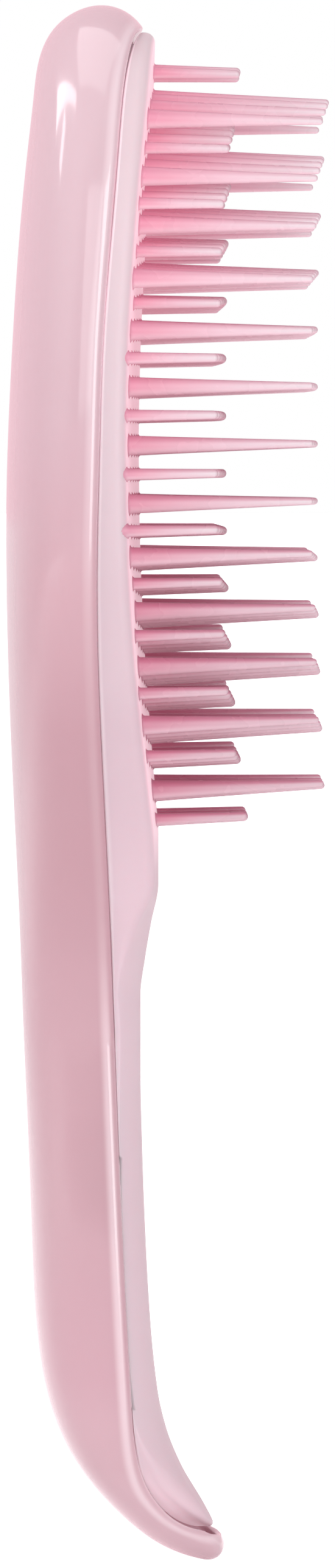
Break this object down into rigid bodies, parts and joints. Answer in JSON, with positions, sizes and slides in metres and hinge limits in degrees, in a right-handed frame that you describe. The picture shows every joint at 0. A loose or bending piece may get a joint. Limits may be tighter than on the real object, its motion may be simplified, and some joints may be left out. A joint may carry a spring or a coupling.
{
  "type": "detangling hairbrush",
  "caption": "Handled detangling hairbrush with a glossy hollow back shell, a satin front insert and two tiers of flexible teeth that lean sideways.",
  "frame": {"origin": "centre of the flat thumb land on the front of the handle", "axes": "+Z along the brush to the top of the head, +X the way the teeth point, Y across the brush"},
  "size_m": [0.0465, 0.0696, 0.225],
  "materials": {
    "shell_plastic": "gloss",
    "insert_plastic": "satin",
    "tooth_plastic": "satin translucent"
  },
  "bodies": {
    "brush_body": {"back_shell": "shell_plastic", "front_insert": "insert_plastic"},
    "long_column_01": {"long_teeth_column_01": "tooth_plastic"},
    "long_column_02": {"long_teeth_column_02": "tooth_plastic"},
    "long_column_03": {"long_teeth_column_03": "tooth_plastic"},
    "long_column_04": {"long_teeth_column_04": "tooth_plastic"},
    "long_column_05": {"long_teeth_column_05": "tooth_plastic"},
    "long_column_06": {"long_teeth_column_06": "tooth_plastic"},
    "long_column_07": {"long_teeth_column_07": "tooth_plastic"},
    "long_column_08": {"long_teeth_column_08": "tooth_plastic"},
    "long_column_09": {"long_teeth_column_09": "tooth_plastic"},
    "long_column_10": {"long_teeth_column_10": "tooth_plastic"},
    "long_column_11": {"long_teeth_column_11": "tooth_plastic"},
    "long_column_12": {"long_teeth_column_12": "tooth_plastic"},
    "long_column_13": {"long_teeth_column_13": "tooth_plastic"},
    "short_column_01": {"short_teeth_column_01": "tooth_plastic"},
    "short_column_02": {"short_teeth_column_02": "tooth_plastic"},
    "short_column_03": {"short_teeth_column_03": "tooth_plastic"},
    "short_column_04": {"short_teeth_column_04": "tooth_plastic"},
    "short_column_05": {"short_teeth_column_05": "tooth_plastic"},
    "short_column_06": {"short_teeth_column_06": "tooth_plastic"},
    "short_column_07": {"short_teeth_column_07": "tooth_plastic"},
    "short_column_08": {"short_teeth_column_08": "tooth_plastic"},
    "short_column_09": {"short_teeth_column_09": "tooth_plastic"},
    "short_column_10": {"short_teeth_column_10": "tooth_plastic"},
    "short_column_11": {"short_teeth_column_11": "tooth_plastic"},
    "short_column_12": {"short_teeth_column_12": "tooth_plastic"},
    "short_column_13": {"short_teeth_column_13": "tooth_plastic"},
    "short_column_14": {"short_teeth_column_14": "tooth_plastic"}
  },
  "joints": [
    {"name": "long_lean_01", "type": "hinge", "parent": "brush_body", "child": "long_column_01", "pos_m": [-0.00013, -0.0294, 0.08933], "axis": [0, 0, 1], "range_deg": [-20, 20], "stiffness_Nm_per_rad": 0.12},
    {"name": "long_lean_02", "type": "hinge", "parent": "brush_body", "child": "long_column_02", "pos_m": [0.00074, -0.0245, 0.08463], "axis": [0, 0, 1], "range_deg": [-20, 20], "stiffness_Nm_per_rad": 0.12},
    {"name": "long_lean_03", "type": "hinge", "parent": "brush_body", "child": "long_column_03", "pos_m": [0.00124, -0.0196, 0.08847], "axis": [0, 0, 1], "range_deg": [-20, 20], "stiffness_Nm_per_rad": 0.12},
    {"name": "long_lean_04", "type": "hinge", "parent": "brush_body", "child": "long_column_04", "pos_m": [0.0017, -0.0147, 0.08479], "axis": [0, 0, 1], "range_deg": [-20, 20], "stiffness_Nm_per_rad": 0.12},
    {"name": "long_lean_05", "type": "hinge", "parent": "brush_body", "child": "long_column_05", "pos_m": [0.0019, -0.0098, 0.08514], "axis": [0, 0, 1], "range_deg": [-20, 20], "stiffness_Nm_per_rad": 0.12},
    {"name": "long_lean_06", "type": "hinge", "parent": "brush_body", "child": "long_column_06", "pos_m": [0.00201, -0.0049, 0.08535], "axis": [0, 0, 1], "range_deg": [-20, 20], "stiffness_Nm_per_rad": 0.12},
    {"name": "long_lean_07", "type": "hinge", "parent": "brush_body", "child": "long_column_07", "pos_m": [0.00205, 0, 0.08542], "axis": [0, 0, 1], "range_deg": [-20, 20], "stiffness_Nm_per_rad": 0.12},
    {"name": "long_lean_08", "type": "hinge", "parent": "brush_body", "child": "long_column_08", "pos_m": [0.00201, 0.0049, 0.08535], "axis": [0, 0, 1], "range_deg": [-20, 20], "stiffness_Nm_per_rad": 0.12},
    {"name": "long_lean_09", "type": "hinge", "parent": "brush_body", "child": "long_column_09", "pos_m": [0.0019, 0.0098, 0.08514], "axis": [0, 0, 1], "range_deg": [-20, 20], "stiffness_Nm_per_rad": 0.12},
    {"name": "long_lean_10", "type": "hinge", "parent": "brush_body", "child": "long_column_10", "pos_m": [0.0017, 0.0147, 0.08479], "axis": [0, 0, 1], "range_deg": [-20, 20], "stiffness_Nm_per_rad": 0.12},
    {"name": "long_lean_11", "type": "hinge", "parent": "brush_body", "child": "long_column_11", "pos_m": [0.00124, 0.0196, 0.08847], "axis": [0, 0, 1], "range_deg": [-20, 20], "stiffness_Nm_per_rad": 0.12},
    {"name": "long_lean_12", "type": "hinge", "parent": "brush_body", "child": "long_column_12", "pos_m": [0.00074, 0.0245, 0.08463], "axis": [0, 0, 1], "range_deg": [-20, 20], "stiffness_Nm_per_rad": 0.12},
    {"name": "long_lean_13", "type": "hinge", "parent": "brush_body", "child": "long_column_13", "pos_m": [-0.00013, 0.0294, 0.08933], "axis": [0, 0, 1], "range_deg": [-20, 20], "stiffness_Nm_per_rad": 0.12},
    {"name": "short_lean_01", "type": "hinge", "parent": "brush_body", "child": "short_column_01", "pos_m": [-0.00063, -0.03185, 0.08551], "axis": [0, 0, 1], "range_deg": [-12, 12], "stiffness_Nm_per_rad": 0.07},
    {"name": "short_lean_02", "type": "hinge", "parent": "brush_body", "child": "short_column_02", "pos_m": [0.00035, -0.02695, 0.08497], "axis": [0, 0, 1], "range_deg": [-12, 12], "stiffness_Nm_per_rad": 0.07},
    {"name": "short_lean_03", "type": "hinge", "parent": "brush_body", "child": "short_column_03", "pos_m": [0.00107, -0.02205, 0.08445], "axis": [0, 0, 1], "range_deg": [-12, 12], "stiffness_Nm_per_rad": 0.07},
    {"name": "short_lean_04", "type": "hinge", "parent": "brush_body", "child": "short_column_04", "pos_m": [0.00139, -0.01715, 0.08485], "axis": [0, 0, 1], "range_deg": [-12, 12], "stiffness_Nm_per_rad": 0.07},
    {"name": "short_lean_05", "type": "hinge", "parent": "brush_body", "child": "short_column_05", "pos_m": [0.00198, -0.01225, 0.08098], "axis": [0, 0, 1], "range_deg": [-12, 12], "stiffness_Nm_per_rad": 0.07},
    {"name": "short_lean_06", "type": "hinge", "parent": "brush_body", "child": "short_column_06", "pos_m": [0.00212, -0.00735, 0.08525], "axis": [0, 0, 1], "range_deg": [-12, 12], "stiffness_Nm_per_rad": 0.07},
    {"name": "short_lean_07", "type": "hinge", "parent": "brush_body", "child": "short_column_07", "pos_m": [0.00219, -0.00245, 0.08543], "axis": [0, 0, 1], "range_deg": [-12, 12], "stiffness_Nm_per_rad": 0.07},
    {"name": "short_lean_08", "type": "hinge", "parent": "brush_body", "child": "short_column_08", "pos_m": [0.00219, 0.00245, 0.08543], "axis": [0, 0, 1], "range_deg": [-12, 12], "stiffness_Nm_per_rad": 0.07},
    {"name": "short_lean_09", "type": "hinge", "parent": "brush_body", "child": "short_column_09", "pos_m": [0.00212, 0.00735, 0.08525], "axis": [0, 0, 1], "range_deg": [-12, 12], "stiffness_Nm_per_rad": 0.07},
    {"name": "short_lean_10", "type": "hinge", "parent": "brush_body", "child": "short_column_10", "pos_m": [0.00198, 0.01225, 0.08098], "axis": [0, 0, 1], "range_deg": [-12, 12], "stiffness_Nm_per_rad": 0.07},
    {"name": "short_lean_11", "type": "hinge", "parent": "brush_body", "child": "short_column_11", "pos_m": [0.00139, 0.01715, 0.08485], "axis": [0, 0, 1], "range_deg": [-12, 12], "stiffness_Nm_per_rad": 0.07},
    {"name": "short_lean_12", "type": "hinge", "parent": "brush_body", "child": "short_column_12", "pos_m": [0.00107, 0.02205, 0.08445], "axis": [0, 0, 1], "range_deg": [-12, 12], "stiffness_Nm_per_rad": 0.07},
    {"name": "short_lean_13", "type": "hinge", "parent": "brush_body", "child": "short_column_13", "pos_m": [0.00035, 0.02695, 0.08497], "axis": [0, 0, 1], "range_deg": [-12, 12], "stiffness_Nm_per_rad": 0.07},
    {"name": "short_lean_14", "type": "hinge", "parent": "brush_body", "child": "short_column_14", "pos_m": [-0.00063, 0.03185, 0.08551], "axis": [0, 0, 1], "range_deg": [-12, 12], "stiffness_Nm_per_rad": 0.07}
  ],
  "couplings": [
    {"joint": "long_lean_01", "follows": "long_lean_07", "ratio": 1},
    {"joint": "long_lean_02", "follows": "long_lean_07", "ratio": 1},
    {"joint": "long_lean_03", "follows": "long_lean_07", "ratio": 1},
    {"joint": "long_lean_04", "follows": "long_lean_07", "ratio": 1},
    {"joint": "long_lean_05", "follows": "long_lean_07", "ratio": 1},
    {"joint": "long_lean_06", "follows": "long_lean_07", "ratio": 1},
    {"joint": "long_lean_08", "follows": "long_lean_07", "ratio": 1},
    {"joint": "long_lean_09", "follows": "long_lean_07", "ratio": 1},
    {"joint": "long_lean_10", "follows": "long_lean_07", "ratio": 1},
    {"joint": "long_lean_11", "follows": "long_lean_07", "ratio": 1},
    {"joint": "long_lean_12", "follows": "long_lean_07", "ratio": 1},
    {"joint": "long_lean_13", "follows": "long_lean_07", "ratio": 1},
    {"joint": "short_lean_01", "follows": "short_lean_07", "ratio": 1},
    {"joint": "short_lean_02", "follows": "short_lean_07", "ratio": 1},
    {"joint": "short_lean_03", "follows": "short_lean_07", "ratio": 1},
    {"joint": "short_lean_04", "follows": "short_lean_07", "ratio": 1},
    {"joint": "short_lean_05", "follows": "short_lean_07", "ratio": 1},
    {"joint": "short_lean_06", "follows": "short_lean_07", "ratio": 1},
    {"joint": "short_lean_08", "follows": "short_lean_07", "ratio": 1},
    {"joint": "short_lean_09", "follows": "short_lean_07", "ratio": 1},
    {"joint": "short_lean_10", "follows": "short_lean_07", "ratio": 1},
    {"joint": "short_lean_11", "follows": "short_lean_07", "ratio": 1},
    {"joint": "short_lean_12", "follows": "short_lean_07", "ratio": 1},
    {"joint": "short_lean_13", "follows": "short_lean_07", "ratio": 1},
    {"joint": "short_lean_14", "follows": "short_lean_07", "ratio": 1}
  ]
}
